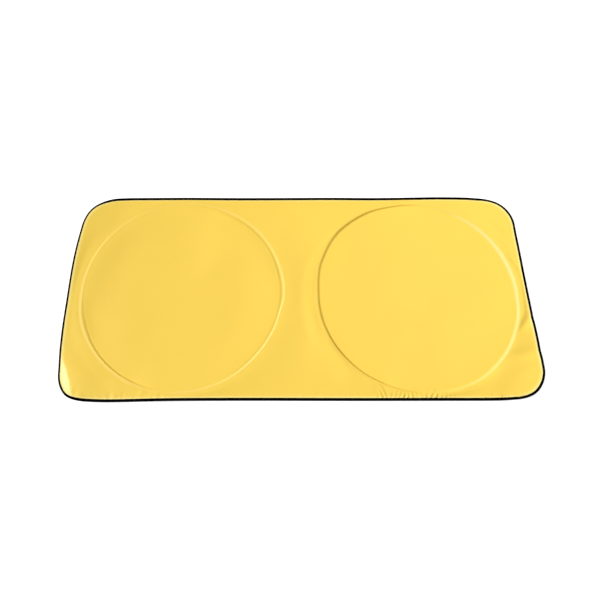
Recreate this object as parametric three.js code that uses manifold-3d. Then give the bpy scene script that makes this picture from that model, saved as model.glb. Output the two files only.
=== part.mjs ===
// A folding windscreen sunshade, laid out flat on the floor with its cabin side down.
//
// Two sheets of coated polyester are sewn together round two flat channels. Each channel holds a
// hoop of spring-steel band, standing on edge, whose ends are joined by a crimped sleeve. A folded
// tape binds the cut edges. Millimetres, +Z up, +Y towards the roof edge of the windscreen. The
// origin is on the floor, under the middle of the shade.

import * as THREE from "three";
import { mergeVertices } from "three/addons/utils/BufferGeometryUtils.js";
import Module from "manifold-3d";

const wasm = await Module();
wasm.setup();

// Cut size of the sheets
const SHADE_WIDTH = 1490;
const SHADE_HEIGHT = 700;
const ROOF_CORNER_RADIUS = 115;
const DASH_CORNER_RADIUS = 95;
const END_BOW = 7; // how far the curved ends fall back between mid-height and the corners

// Cloth
const CLOTH_THICKNESS = 0.3;
const SEAT_GAP = 0.3; // between pieces that rest on each other

// Spring hoops
const HOOP_MARGIN = 24.5; // from the band to the nearest side of its half of the sheet
const HOOP_OFFSET = 7; // outwards from the middle of its half
const BAND_THICKNESS = 1;
const BAND_WIDTH = 3.5; // stands upright
const BAND_END_GAP = 1;

// Channels sewn round the hoops
const CHANNEL_WIDTH = 12; // between the two rows of stitches
const CREST_WIDTH = 3.4; // where the cloth lies over the edge of the band
const DISH_WIDTH = 80; // over which the cloth inside a hoop sinks to the floor

// Crimped sleeves
const SLEEVE_LENGTH = 24;
const SLEEVE_WALL = 0.35;
const CRIMP_GAP = 0.15;
const LEFT_JOINT_ANGLE = 245; // degrees round the hoop from +X
const RIGHT_JOINT_ANGLE = 157;
const BULGE_FADE = 36; // along the hoop, past each end of the sleeve

// Edge tape
const TAPE_WIDTH = 7.5; // of each leg of the folded tape
const TAPE_THICKNESS = 0.5;

// Where the cloth stands off the floor as it settles when unfolded: soft humps, each at shares of
// half the width and half the height, with its reach in half heights and its rise in lofts
const LOFT = 5;
const HUMPS = [
  { along: -0.94, up: 0.91, reach: 0.43, rise: 1.0 },
  { along: -1.0, up: 0.11, reach: 0.31, rise: 0.5 },
  { along: -0.93, up: -0.93, reach: 0.31, rise: 0.6 },
  { along: -0.12, up: 1.0, reach: 0.37, rise: 0.5 },
  { along: 0.2, up: 1.0, reach: 0.34, rise: 0.8 },
  { along: 0.04, up: -1.0, reach: 0.43, rise: 0.5 },
  { along: 0.0, up: 0.0, reach: 0.17, rise: 0.6 },
  { along: 0.93, up: 0.89, reach: 0.4, rise: 0.9 },
  { along: 1.0, up: 0.2, reach: 0.23, rise: 0.6 },
  { along: 1.01, up: -0.26, reach: 0.2, rise: 0.8 },
  { along: 0.94, up: -0.83, reach: 0.34, rise: 1.2 },
];

// Spacing of the points along the outline
const EDGE_STEP = 44;
const CORNER_STEP = 26;
const HOOP_SEGMENTS = 60; // on each half turn

// Heights above the floor, worked out from what lies on what
const bandBottom = CLOTH_THICKNESS + SEAT_GAP;
const bandTop = bandBottom + BAND_WIDTH;
const bandMiddle = (bandBottom + bandTop) / 2;
const layerStep = CLOTH_THICKNESS + SEAT_GAP; // from the back sheet to the front one
const seamHeight = bandMiddle - SEAT_GAP / 2 - CLOTH_THICKNESS; // underside of the back sheet
const edgeHeight = TAPE_THICKNESS + SEAT_GAP; // the tape's lower leg lies on the floor
const sleeveTop = bandTop + CRIMP_GAP + SLEEVE_WALL;

// Each hoop is the circle that fits its half of the sheet
const hoopRadius = Math.min(SHADE_HEIGHT / 2, SHADE_WIDTH / 4) - HOOP_MARGIN;
const hoopCentre = SHADE_WIDTH / 4 + HOOP_OFFSET;
const innerSeam = hoopRadius - CHANNEL_WIDTH / 2;
const outerSeam = hoopRadius + CHANNEL_WIDTH / 2;
const radians = THREE.MathUtils.degToRad;

const GOLD = new THREE.MeshStandardMaterial({ color: 0xf2cf5e, roughness: 0.42, metalness: 0.1 });
const GOLD_BACK = new THREE.MeshStandardMaterial({ color: 0xe9c557, roughness: 0.5, metalness: 0.1 });
const BLACK = new THREE.MeshStandardMaterial({ color: 0x121212, roughness: 0.75, metalness: 0 });
const SPRING_STEEL = new THREE.MeshStandardMaterial({ color: 0x8a8d90, roughness: 0.35, metalness: 1 });
const ZINC = new THREE.MeshStandardMaterial({ color: 0xb4b8ba, roughness: 0.4, metalness: 1 });

// The right half of the outline, from the middle of the dash edge round to the middle of the roof
// edge, as points with their outward normals
function rightOutline() {
  const top = SHADE_HEIGHT / 2;
  const bowRadius = (END_BOW ** 2 + top ** 2) / (2 * END_BOW);
  const bowCentre = SHADE_WIDTH / 2 - bowRadius;
  // A corner arc touches a long edge and, from inside, the arc of the end
  const corner = (radius) => {
    const y = top - radius;
    const reach = Math.sqrt((bowRadius - radius) ** 2 - y ** 2);
    return { x: bowCentre + reach, y, turn: Math.atan2(y, reach) };
  };
  const dash = corner(DASH_CORNER_RADIUS);
  const roof = corner(ROOF_CORNER_RADIUS);
  const arc = (x, y, radius, from, to) => new THREE.EllipseCurve(x, y, radius, radius, from, to);
  const line = (x0, y0, x1, y1) => new THREE.LineCurve(new THREE.Vector2(x0, y0), new THREE.Vector2(x1, y1));
  const curves = [
    [line(0, -top, dash.x, -top), EDGE_STEP],
    [arc(dash.x, -dash.y, DASH_CORNER_RADIUS, -Math.PI / 2, -dash.turn), CORNER_STEP],
    [arc(bowCentre, 0, bowRadius, -dash.turn, roof.turn), EDGE_STEP],
    [arc(roof.x, roof.y, ROOF_CORNER_RADIUS, roof.turn, Math.PI / 2), CORNER_STEP],
    [line(roof.x, top, 0, top), EDGE_STEP],
  ];
  const points = [];
  curves.forEach(([curve, step], number) => {
    const count = Math.max(1, Math.round(curve.getLength() / step));
    for (let i = number ? 1 : 0; i <= count; i++) {
      const point = curve.getPoint(i / count);
      const along = curve.getTangent(i / count);
      points.push({ x: point.x, y: point.y, nx: along.y, ny: -along.x });
    }
  });
  return points;
}

const outline = rightOutline();
const inset = outline.map((p) => ({ x: p.x - TAPE_WIDTH * p.nx, y: p.y - TAPE_WIDTH * p.ny }));

// The middle of the sheet, from just below the roof edge to just above the dash edge
function middleLine() {
  const roofEnd = inset.at(-1).y;
  const dashEnd = inset[0].y;
  const count = Math.round((roofEnd - dashEnd) / EDGE_STEP);
  return Array.from({ length: count - 1 }, (_, i) => ({
    x: 0,
    y: THREE.MathUtils.lerp(roofEnd, dashEnd, (i + 1) / count),
  }));
}

// What one hoop's web of cloth reaches out to: the tape, and the middle of the sheet
const webEdge = [...inset, ...middleLine()];
const spokes = webEdge.map((p) => {
  const length = Math.hypot(p.x - hoopCentre, p.y);
  return { x: (p.x - hoopCentre) / length, y: p.y / length };
});

function humps(x, y) {
  const halfWidth = SHADE_WIDTH / 2;
  const halfHeight = SHADE_HEIGHT / 2;
  return HUMPS.reduce((sum, h) => {
    const distance = Math.hypot(x - h.along * halfWidth, y - h.up * halfHeight) / (h.reach * halfHeight);
    return sum + LOFT * h.rise * Math.exp(-distance * distance);
  }, 0);
}

// Height of the back sheet's underside between a hoop, at share 0, and the edge, at share 1
function restHeight(x, y, share) {
  const ease = share * share * (3 - 2 * share);
  return THREE.MathUtils.lerp(seamHeight, edgeHeight + humps(x, y), ease);
}

// How far the front sheet is pushed up where it lies over a sleeve
function sleeveBulge(x, y, side) {
  const joint = radians(side > 0 ? RIGHT_JOINT_ANGLE : LEFT_JOINT_ANGLE);
  const angle = Math.atan2(y, x - side * hoopCentre) - joint;
  const along = Math.abs(Math.atan2(Math.sin(angle), Math.cos(angle))) * hoopRadius;
  const fade = THREE.MathUtils.smoothstep(along, SLEEVE_LENGTH / 2, SLEEVE_LENGTH / 2 + BULGE_FADE);
  return (sleeveTop - bandTop) * 1.25 * (1 - fade);
}

// The loops of one half's web, from the dish inside the hoop out to the edge. side is 1 or -1.
// Each loop runs anticlockwise, and each point's z is the underside of the sheet.
function webLoops(side, isFront) {
  const lift = isFront ? layerStep : 0;
  const circle = (radius, height) =>
    spokes.map((s) => {
      const x = side * (hoopCentre + radius * s.x);
      const y = radius * s.y;
      return { x, y, z: height(x, y) };
    });
  const dish = () => lift;
  const seam = () => seamHeight + lift;
  const crest = (x, y) => (isFront ? bandTop + SEAT_GAP + sleeveBulge(x, y, side) : 0);
  const between = (share) =>
    webEdge.map((p, i) => {
      const fromX = hoopCentre + outerSeam * spokes[i].x;
      const fromY = outerSeam * spokes[i].y;
      const x = side * THREE.MathUtils.lerp(fromX, p.x, share);
      const y = THREE.MathUtils.lerp(fromY, p.y, share);
      return { x, y, z: restHeight(x, y, share) + lift };
    });
  const loops = [
    circle(innerSeam - DISH_WIDTH, dish),
    circle(innerSeam, seam),
    circle(hoopRadius - CREST_WIDTH / 2, crest),
    circle(hoopRadius + CREST_WIDTH / 2, crest),
    circle(outerSeam, seam),
    between(0.5),
    between(1),
  ];
  return side > 0 ? loops : loops.map((loop) => loop.reverse());
}

// A loop round the whole edge, from a list of points along the right half
function wholeEdge(half) {
  const left = half.slice(1, -1).map((p) => ({ ...p, x: -p.x, nx: -p.nx }));
  return [...half, ...left.reverse()];
}

// Triangles between two loops of as many points, or from a loop to its centre
function band(inner, outer) {
  return inner.flatMap((p, i) => {
    const j = (i + 1) % inner.length;
    return [
      [p, outer[i], outer[j]],
      [p, outer[j], inner[j]],
    ];
  });
}

function fan(centre, loop) {
  return loop.map((p, i) => [centre, p, loop[(i + 1) % loop.length]]);
}

function geometryOf(triangles) {
  const positions = triangles.flatMap((t) => t.flatMap((p) => [p.x, p.y, p.z]));
  const geometry = new THREE.BufferGeometry();
  geometry.setAttribute("position", new THREE.Float32BufferAttribute(positions, 3));
  return mergeVertices(geometry, 1e-3);
}

function raised(p) {
  return { ...p, z: p.z + CLOTH_THICKNESS };
}

// One sheet of cloth: its two webs, the strip under the tape, and its cut edge
function sheet(isFront) {
  const lift = isFront ? layerStep : 0;
  const underside = [];
  for (const side of [1, -1]) {
    const loops = webLoops(side, isFront);
    underside.push(...fan({ x: side * hoopCentre, y: 0, z: lift }, loops[0]));
    loops.slice(1).forEach((loop, i) => underside.push(...band(loops[i], loop)));
  }
  const settle = (p) => ({ ...p, z: restHeight(p.x, p.y, 1) + lift });
  const stripEdge = wholeEdge(inset).map(settle);
  const cutEdge = wholeEdge(outline).map(settle);
  underside.push(...band(stripEdge, cutEdge));
  const top = underside.map((t) => t.map(raised));
  const bottom = underside.map(([a, b, c]) => [a, c, b]);
  return geometryOf([...top, ...bottom, ...band(cutEdge.map(raised), cutEdge)]);
}

// The tape, folded over the cut edges: one closed section carried round the outline
function edgeTape() {
  const inner = wholeEdge(inset);
  const section = wholeEdge(outline).map((p, i) => {
    const q = inner[i];
    const legs = (at) => {
      const below = restHeight(at.x, at.y, 1) - SEAT_GAP;
      return { below, above: below + 2 * CLOTH_THICKNESS + 3 * SEAT_GAP };
    };
    const edge = legs(p);
    const hem = legs(q);
    const out = (distance, z) => ({ x: p.x + distance * p.nx, y: p.y + distance * p.ny, z });
    const at = (z) => ({ x: q.x, y: q.y, z });
    const nose = SEAT_GAP + TAPE_THICKNESS;
    return [
      at(hem.above + TAPE_THICKNESS),
      out(0, edge.above + TAPE_THICKNESS),
      out(nose, (edge.above + edge.below) / 2),
      out(0, edge.below - TAPE_THICKNESS),
      at(hem.below - TAPE_THICKNESS),
      at(hem.below),
      out(SEAT_GAP, edge.below),
      out(SEAT_GAP, edge.above),
      at(hem.above),
    ];
  });
  const loops = section[0].map((_, k) => section.map((points) => points[k]));
  return geometryOf(loops.flatMap((loop, k) => band(loop, loops[(k + 1) % loops.length])));
}

// A flat ring's sector, from one angle round to another, as an upright solid
function ringSector(inner, outer, from, to, bottom, height, segments) {
  const shape = new THREE.Shape();
  shape.absarc(0, 0, outer, from, to, false);
  shape.absarc(0, 0, inner, to, from, true);
  shape.closePath();
  const geometry = new THREE.ExtrudeGeometry(shape, {
    depth: height,
    bevelEnabled: false,
    curveSegments: segments,
  });
  return geometry.translate(0, 0, bottom);
}

// The spring band, open where its ends meet in the sleeve
function hoopBand(jointAngle) {
  const halfGap = BAND_END_GAP / 2 / hoopRadius;
  const start = radians(jointAngle) + halfGap;
  const end = radians(jointAngle) + 2 * Math.PI - halfGap;
  const half = BAND_THICKNESS / 2;
  return ringSector(hoopRadius - half, hoopRadius + half, start, end, bandBottom, BAND_WIDTH, HOOP_SEGMENTS);
}

function solidOf(geometry) {
  const bare = geometry.clone().deleteAttribute("normal").deleteAttribute("uv");
  const merged = mergeVertices(bare, 1e-4);
  return new wasm.Manifold(
    new wasm.Mesh({
      numProp: 3,
      vertProperties: merged.attributes.position.array,
      triVerts: new Uint32Array(merged.index.array),
    }),
  );
}

function geometryOfSolid(solid) {
  const mesh = solid.getMesh();
  const geometry = new THREE.BufferGeometry();
  geometry.setAttribute("position", new THREE.BufferAttribute(mesh.vertProperties, 3));
  geometry.setIndex(new THREE.BufferAttribute(mesh.triVerts, 1));
  return geometry;
}

// A strip of steel folded over the band's two ends, with its open seam along their lower edge
function crimpSleeve(jointAngle) {
  const spread = SLEEVE_LENGTH / 2 / hoopRadius;
  const start = radians(jointAngle) - spread;
  const end = radians(jointAngle) + spread;
  const bore = BAND_THICKNESS / 2 + CRIMP_GAP;
  const skin = bore + SLEEVE_WALL;
  const segments = 4;
  const past = spread / 4;
  const boreHeight = BAND_WIDTH + CRIMP_GAP;
  const shell = ringSector(
    hoopRadius - skin, hoopRadius + skin, start, end, bandBottom, boreHeight + SLEEVE_WALL, segments,
  );
  const slot = ringSector(
    hoopRadius - bore, hoopRadius + bore, start - past, end + past, bandBottom - 1, boreHeight + 1, segments,
  );
  return geometryOfSolid(solidOf(shell).subtract(solidOf(slot)));
}

const shade = new THREE.Group();

function add(parent, name, geometry, material) {
  const mesh = new THREE.Mesh(geometry, material);
  mesh.name = name;
  parent.add(mesh);
}

add(shade, "front_cloth", sheet(true), GOLD);
add(shade, "back_cloth", sheet(false), GOLD_BACK);
add(shade, "edge_binding", edgeTape(), BLACK);

const hoops = [
  { name: "left", side: -1, jointAngle: LEFT_JOINT_ANGLE },
  { name: "right", side: 1, jointAngle: RIGHT_JOINT_ANGLE },
];
for (const { name, side, jointAngle } of hoops) {
  const hoop = new THREE.Group();
  hoop.position.x = side * hoopCentre;
  add(hoop, `${name}_spring_hoop`, hoopBand(jointAngle), SPRING_STEEL);
  add(hoop, `${name}_crimp_sleeve`, crimpSleeve(jointAngle), ZINC);
  shade.add(hoop);
}

export default shade;
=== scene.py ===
"""A folding windscreen sunshade, laid out on a pale floor with its gold side up.

Two sheets of coated polyester are sewn together round two spring-steel hoops and bound with a
black tape. The hoops and their crimped sleeves come from the frame. The cloths, the tape and the
stitches are made here, as the shade settles when it has just been opened. Metres, +Z up, +Y
towards the roof edge of the windscreen.
"""

import math

import bpy
import numpy as np
from bpy.props import FloatProperty, FloatVectorProperty, PointerProperty
from mathutils import Matrix, Vector


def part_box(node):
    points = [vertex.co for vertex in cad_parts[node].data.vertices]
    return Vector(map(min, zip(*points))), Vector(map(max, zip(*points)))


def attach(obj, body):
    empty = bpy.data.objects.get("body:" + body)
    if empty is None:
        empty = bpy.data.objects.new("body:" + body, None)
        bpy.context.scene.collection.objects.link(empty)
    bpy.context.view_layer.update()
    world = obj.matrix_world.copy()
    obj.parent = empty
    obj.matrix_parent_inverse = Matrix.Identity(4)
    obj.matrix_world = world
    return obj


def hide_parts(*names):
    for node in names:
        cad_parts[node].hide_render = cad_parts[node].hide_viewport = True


bl_info = {
    "name": "Windscreen Sunshade",
    "version": (1, 0, 0),
    "blender": (4, 5, 0),
    "location": "3D View > Sidebar > Sunshade",
    "description": "Makes the cloths, tape, stitches and stage of a folding windscreen sunshade",
    "category": "Add Mesh",
}

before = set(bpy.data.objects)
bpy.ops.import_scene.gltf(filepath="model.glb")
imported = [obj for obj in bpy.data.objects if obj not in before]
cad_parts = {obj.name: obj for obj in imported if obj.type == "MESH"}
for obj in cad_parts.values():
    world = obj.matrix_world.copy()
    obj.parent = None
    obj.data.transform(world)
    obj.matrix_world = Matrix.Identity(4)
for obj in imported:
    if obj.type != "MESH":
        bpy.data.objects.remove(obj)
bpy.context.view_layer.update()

MM = 0.001
BODY = "root"
LEFT, RIGHT = -1, 1

# Read from the frame: the hoops, the top of their bands and the cut edge of the cloth
HOOP_LOW, HOOP_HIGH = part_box("right_spring_hoop")
BAND_THICKNESS = 1 * MM
HOOP_CENTRE = (HOOP_LOW.x + HOOP_HIGH.x) / 2
HOOP_RADIUS = (HOOP_HIGH.x - HOOP_LOW.x) / 2 - BAND_THICKNESS / 2
BAND_TOP = HOOP_HIGH.z
CLOTH_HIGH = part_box("front_cloth")[1]
HALF_WIDTH = CLOTH_HIGH.x
HALF_HEIGHT = CLOTH_HIGH.y

# The cut of the sheets
ROOF_CORNER_RADIUS = 115 * MM
DASH_CORNER_RADIUS = 95 * MM
END_BOW = 7 * MM

# Levels of the front cloth's underside
FLOOR_LEVEL = 0.6 * MM
FLOOR_EASE = 0.6 * MM
CREST_LEVEL = BAND_TOP + 0.35 * MM
CREST_PLACES = (-0.8 * MM, 0.0, 0.8 * MM)  # across the band, where the cloth may rest on it
EDGE_LEVEL = 1.9 * MM
LAYER_GAP = 0.15 * MM

# The channel round each hoop
SEAM_OFFSET = 6 * MM  # from the band to each row of stitches
SEAM_GROOVE = 1.2 * MM
SEAM_DIP = 0.13 * MM
DISH_START = 12 * MM
CHANNEL_REACH = 14 * MM  # past which the cloth outside eases to the edge's level
BACK_START = 1.3 * MM  # beside the band, where the back cloth leaves the floor
BACK_FADE = 3.8 * MM  # over which it closes up to the front one

# Where the soft forms start beside the band, and over how much they grow
WEB_START, WEB_FADE = 4 * MM, 20 * MM
HEM_START, HEM_FADE = 2.5 * MM, 5 * MM
CURL_FADE = 60 * MM
HOOP_FADE = 60 * MM
HOOP_START = 0.25  # as a share of that fade, inside the band

# Where highlights and shade are painted on the coating, and how tight it is pulled
SHADING_SHARE = 0.37  # of a slope's width, over which its painted highlight or shade fades
TROUGH_SHADE_DEPTH = 3.4 * MM  # a trough that deep between gathers gets the full painted shade
TIGHT_HIGHLIGHT_REACH = 4.2 * MM  # in from the tape, whose stitches pull the cloth tight: over this the painted highlight there fades
CURL_TIGHT_HIGHLIGHT = 5 * MM  # past the ridge of the curled corner, where the cloth is fully tight and the painted highlight full

# The crimped sleeves, under the cloth at these angles from +X
JOINT_ANGLES = {LEFT: 245, RIGHT: 157}
SLEEVE_RISE = 0.7 * MM
SLEEVE_REACH = 17 * MM
SLEEVE_SPREAD = 5 * MM

# The folded tape: it was sewn on unevenly, so more of it shows along the roof edge and less at
# both ends
TAPE_ROW = 1.9 * MM  # from its woven edge to its row of stitches
TAPE_PUFF = 0.35 * MM
ROOF_LEG, LEFT_LEG, RIGHT_LEG = 0.13, -0.4, -0.15
ROOF_LEG_LOW, ROOF_LEG_END, ROOF_LEG_FADE = 0.25, 0.70, 0.08
LEFT_LEG_START, RIGHT_LEG_START, END_LEG_FADE = 0.655, 0.60, 0.07

# The stitches
STITCH_SHARE = 0.82  # of the pitch, which the thread spans
STITCH_RISE = 0.15  # of the thread's thickness, at the middle of a stitch
STITCH_SINK = 0.55  # of it too, from there down to both ends
STITCH_BITE = 0.05 * MM  # how deep the tape's stitches sit in it

# The finish of the cloths, and what the colour is multiplied by for painted highlights by the tape,
# on the curled corner and along the channels, and for painted shade in folds and between gathers
GOLD_ROUGHNESS = 0.58
LINING_ROUGHNESS = 0.68
TIGHT_SHINE = 0.12  # how much less rough it is where it is tight
TAPE_AND_CURL_HIGHLIGHT_TINT = (1.07, 1.27, 3.2)
CHANNEL_HIGHLIGHT_TINT = (1.0, 1.05, 3.0)
PAINTED_SHADE_TINT = (0.70, 0.62, 0.14)

# The studio
STUDIO_REACH = 6.0
FLOOR_GAP = 0.2 * MM  # under the shade
CURTAIN_RADIUS = 0.98 * STUDIO_REACH
CURTAIN_HEIGHT = 4.0
KEY_PLACE = (-2.45, 0.4, 1.65)  # the key light shines from that way
KEY_SPREAD = 18  # degrees

# The photograph's viewpoint, found from the outlines of the two round hoops
CAMERA_TURNS = (-0.33, 69.55, 0.23)  # azimuth, elevation and roll, in degrees
CAMERA_TARGET = (0.0043, -0.0273, 0.0)
CAMERA_DISTANCE = 1.671
CAMERA_LENS = 31.18
CAMERA_SENSOR = 36

# Spacing of the points of the sheets
DASH_STEP = 3.4 * MM
EDGE_STEP = 7.5 * MM
TAPE_STEP = 0.7 * EDGE_STEP
DASH_CORNER_SHARE = 0.6  # of the step, round the corners by the dash
ROOF_CORNER_SHARE = 0.7  # and by the roof
MIDDLE_STEP = 9.5 * MM
DOUBLES = 0.02 * MM  # points that close are one
COARSE_EVERY = 4
INNER_RINGS = 8
INNER_GAP = 0.012  # from the last of them to the first of the fine rings
RING_OFFSETS = (
    -58, -42, -31, -25, -21, -18, -15.5, -13.5, -12, -10.5, -9, -7.8, -6.8, -6, -5.2, -4.2, -3.2,
    -2.2, -1.2, 0, 1.2, 2.4, 3.6, 4.8, 6, 7.2, 8.6, 10.2, 12, 14,
)
WEB_SHARES = (0.07, 0.15, 0.24, 0.34, 0.45, 0.55, 0.63, 0.69, 0.75, 0.80, 0.85, 0.90, 0.95, 1.0)


def smooth(t):
    """An even S from 0 to 1."""
    t = np.clip(t, 0.0, 1.0)
    return t * t * (3 - 2 * t)


def blend(low, high, t):
    """From low to high by t."""
    return low + (high - low) * t


class Around:
    """A length that changes round a hoop, from pairs of an angle from +X and millimetres."""

    def __init__(self, *pairs):
        angles = [a for a, _ in pairs]
        values = [v * MM for _, v in pairs]
        self.angles = np.array([angles[-1] - 360, *angles, angles[0] + 360], float)
        self.values = np.array([values[-1], *values, values[0]])

    def at(self, degrees):
        """The length at each angle."""
        turned = np.asarray(degrees, float) % 360
        i = np.clip(np.searchsorted(self.angles, turned, side="right") - 1, 0, len(self.angles) - 2)
        share = (turned - self.angles[i]) / (self.angles[i + 1] - self.angles[i])
        return blend(self.values[i], self.values[i + 1], smooth(share))


class Ramp:
    """A slope of the cloth that runs along a hoop: how far outside the band its middle is, its
    width, and how much it rises outwards."""

    def __init__(self, offset, width, rise):
        self.offset, self.width, self.rise = offset, width, rise

    def at(self, degrees, offset):
        """The height gained from inside the hoop out to an offset."""
        share = (offset - self.offset.at(degrees)) / self.width.at(degrees) + 0.5
        return self.rise.at(degrees) * smooth(share)


# The slopes of the cloth over each hoop, which its level on the band then fixes in height
CHANNEL_RAMPS = {
    LEFT: [
        Ramp(
            Around(
                (0, -3.5), (20, -6.5), (40, -9), (60, -12.5), (100, -9), (160, -10), (200, -12),
                (220, -9.5), (240, -8), (260, -5), (320, -7),
            ),
            Around((0, 7), (40, 9), (60, 12), (180, 10), (200, 8), (225, 5.5), (240, 5), (260, 6)),
            Around(
                (0, -1.8), (20, -2.6), (40, -3.3), (60, -3.0), (85, 0), (150, 0), (180, 0.3),
                (200, 2.3), (220, 3.5), (240, 4.2), (262, 0.6), (285, 0.2), (320, -0.9), (340, -1.2),
            ),
        ),
        Ramp(
            Around(
                (0, 7), (20, 3), (60, 0), (130, -2), (160, -4.8), (180, -5.6), (200, -2.6), (220, -3.5),
                (260, 0), (300, 2), (320, 0.6), (345, 1.2),
            ),
            Around((0, 7), (60, 9), (120, 10), (160, 9), (180, 11), (200, 7), (220, 6), (300, 7)),
            Around(
                (0, 2.7), (20, 2.1), (60, 0.8), (100, 0.2), (130, -1.1), (155, -2.3), (180, -1.5),
                (200, -0.9), (220, -1.2), (250, -0.7), (275, 0.6), (300, 2.6), (320, 4.0), (340, 3.8),
            ),
        ),
        Ramp(
            Around((0, -22), (180, -26), (210, -26)),
            Around((0, 26), (200, 30)),
            Around((0, 0), (20, -1.6), (45, -2.4), (75, 0), (175, 0), (200, 2.6), (220, 0)),
        ),
    ],
    RIGHT: [
        Ramp(
            Around(
                (0, -2.5), (20, -4.5), (40, -5.5), (60, -7), (80, -7), (100, -6.8), (120, -2),
                (140, 0.7), (160, -3.6), (180, -10), (200, -6.8), (220, -4.6), (240, -3.4), (270, 2),
                (300, 8.4), (320, 6.4), (340, 3.2),
            ),
            Around(
                (0, 15), (20, 15), (40, 13), (60, 11), (80, 7), (100, 5), (120, 8), (140, 9.5),
                (160, 11), (180, 8), (200, 8.5), (220, 6.2), (240, 5.2), (280, 9), (320, 11), (340, 12),
            ),
            Around(
                (0, 4.0), (20, 4.7), (40, 5.0), (60, 4.6), (80, 1.8), (100, 4.0), (120, 5.6), (140, 5.8),
                (160, 4.2), (180, 4.2), (200, 6.1), (220, 7.0), (240, 5.8), (265, 1.0), (300, 3.4),
                (320, 4.2), (340, 4.0),
            ),
        ),
        Ramp(
            Around(
                (0, 27), (40, 22), (100, 16), (140, 20), (180, 34), (205, 36), (225, 32), (250, 14),
                (310, 18), (345, 27),
            ),
            Around((0, 12), (60, 14), (140, 20), (180, 44), (205, 48), (225, 40), (250, 14), (340, 14)),
            Around(
                (0, -1.6), (25, -0.6), (50, -0.2), (120, -0.4), (140, -1.6), (165, -2.6), (185, -3.4),
                (205, -4.8), (225, -3.6), (250, -0.6), (310, 0), (340, -0.8),
            ),
        ),
        Ramp(
            Around((0, -19), (120, -18), (200, 3), (260, 3)),
            Around((0, 10), (120, 10), (200, 6), (260, 6)),
            Around(
                (0, 0), (30, -0.6), (45, -1.8), (65, -1.6), (85, 0), (200, 0), (217, 1.7), (240, 1.7),
                (258, 0),
            ),
        ),
    ],
}

# Highlight and shade painted along the first slopes of each hoop, in thousandths: 1000 is a full
# painted highlight, -1000 full painted shade
PAINTED_CHANNEL_SHADING = {
    LEFT: [
        Around((0, 0), (100, 0), (160, -150), (240, -100), (270, 0)),
        Around(
            (0, 650), (40, 450), (60, 250), (100, 100), (140, 200), (160, 280), (200, 420),
            (240, 360), (262, 100), (290, 400), (320, 850), (340, 750),
        ),
    ],
    RIGHT: [
        Around(
            (0, 850), (20, 1000), (45, 800), (70, 100), (100, -200), (120, -400), (145, -200),
            (200, -350), (218, -1000), (236, -1000), (255, -500), (275, 100), (320, 800),
        ),
    ],
}

# Over what width inside each hoop the cloth comes down to the floor
DISH_WIDTHS = {
    LEFT: Around((0, 120), (45, 280), (90, 160), (170, 90), (200, 60), (235, 110)),
    RIGHT: Around((0, 110), (120, 110), (170, 85), (210, 75), (245, 85), (290, 110)),
}


class Swell:
    """A soft rise or fall, strongest at one place and fading all round it."""

    def __init__(self, x, y, reach_x, reach_y, rise, turn=0.0):
        self.x, self.y = x, y
        self.reach_x, self.reach_y = reach_x, reach_y
        self.rise = rise * MM
        self.turn = math.radians(turn)

    def at(self, x, y):
        """The height that it adds at each place."""
        along = (x - self.x) * math.cos(self.turn) + (y - self.y) * math.sin(self.turn)
        across = (y - self.y) * math.cos(self.turn) - (x - self.x) * math.sin(self.turn)
        return self.rise * np.exp(-((along / self.reach_x) ** 2) - (across / self.reach_y) ** 2)


def swelling(swells, x, y):
    """What a list of swells adds at each place."""
    return sum(swell.at(x, y) for swell in swells)


# Where the edge stands off the floor
EDGE_SWELLS = [
    Swell(-0.73, 0.28, 0.10, 0.13, 8),
    Swell(-0.75, 0.09, 0.06, 0.12, 5.4),
    Swell(-0.75, -0.11, 0.05, 0.08, 3.2),
    Swell(-0.12, 0.35, 0.13, 0.13, 2),
    Swell(0.15, 0.35, 0.16, 0.1, 2.5),
    Swell(0.02, -0.35, 0.2, 0.1, 1.2),
    Swell(0.70, 0.28, 0.14, 0.15, 4.2),
    Swell(0.745, -0.13, 0.04, 0.05, 2.0),
    Swell(0.72, -0.30, 0.09, 0.10, 4.4),
    Swell(0.75, 0.04, 0.04, 0.17, 2.4),
    Swell(-0.38, -0.35, 0.15, 0.1, 2.8),
    Swell(0.38, -0.35, 0.15, 0.1, 2.8),
    Swell(-0.38, 0.35, 0.15, 0.1, 2.4),
    Swell(0.40, 0.35, 0.14, 0.1, 2.2),
]

# Soft waves of the webs and the middle strip
WEB_SWELLS = [
    Swell(0.052, -0.14, 0.020, 0.09, 1.6, turn=12),
    Swell(0.150, -0.27, 0.030, 0.05, 2.2, turn=25),
    Swell(-0.665, 0.255, 0.030, 0.06, 2.0, turn=-40),
    Swell(0.600, -0.292, 0.036, 0.07, 3.4, turn=-35),
    Swell(0.702, -0.206, 0.050, 0.017, -4.2, turn=16),
    Swell(0.711, -0.111, 0.044, 0.014, -4.8, turn=42),
    Swell(0.690, -0.262, 0.040, 0.018, -1.8, turn=25),
    Swell(0.704, 0.110, 0.030, 0.009, -2.4, turn=-40),
    Swell(0.660, 0.235, 0.060, 0.014, 1.6, turn=-52),
    Swell(-0.640, -0.285, 0.055, 0.055, 2.2),
    Swell(-0.560, -0.320, 0.050, 0.030, 1.2),
]

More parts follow.
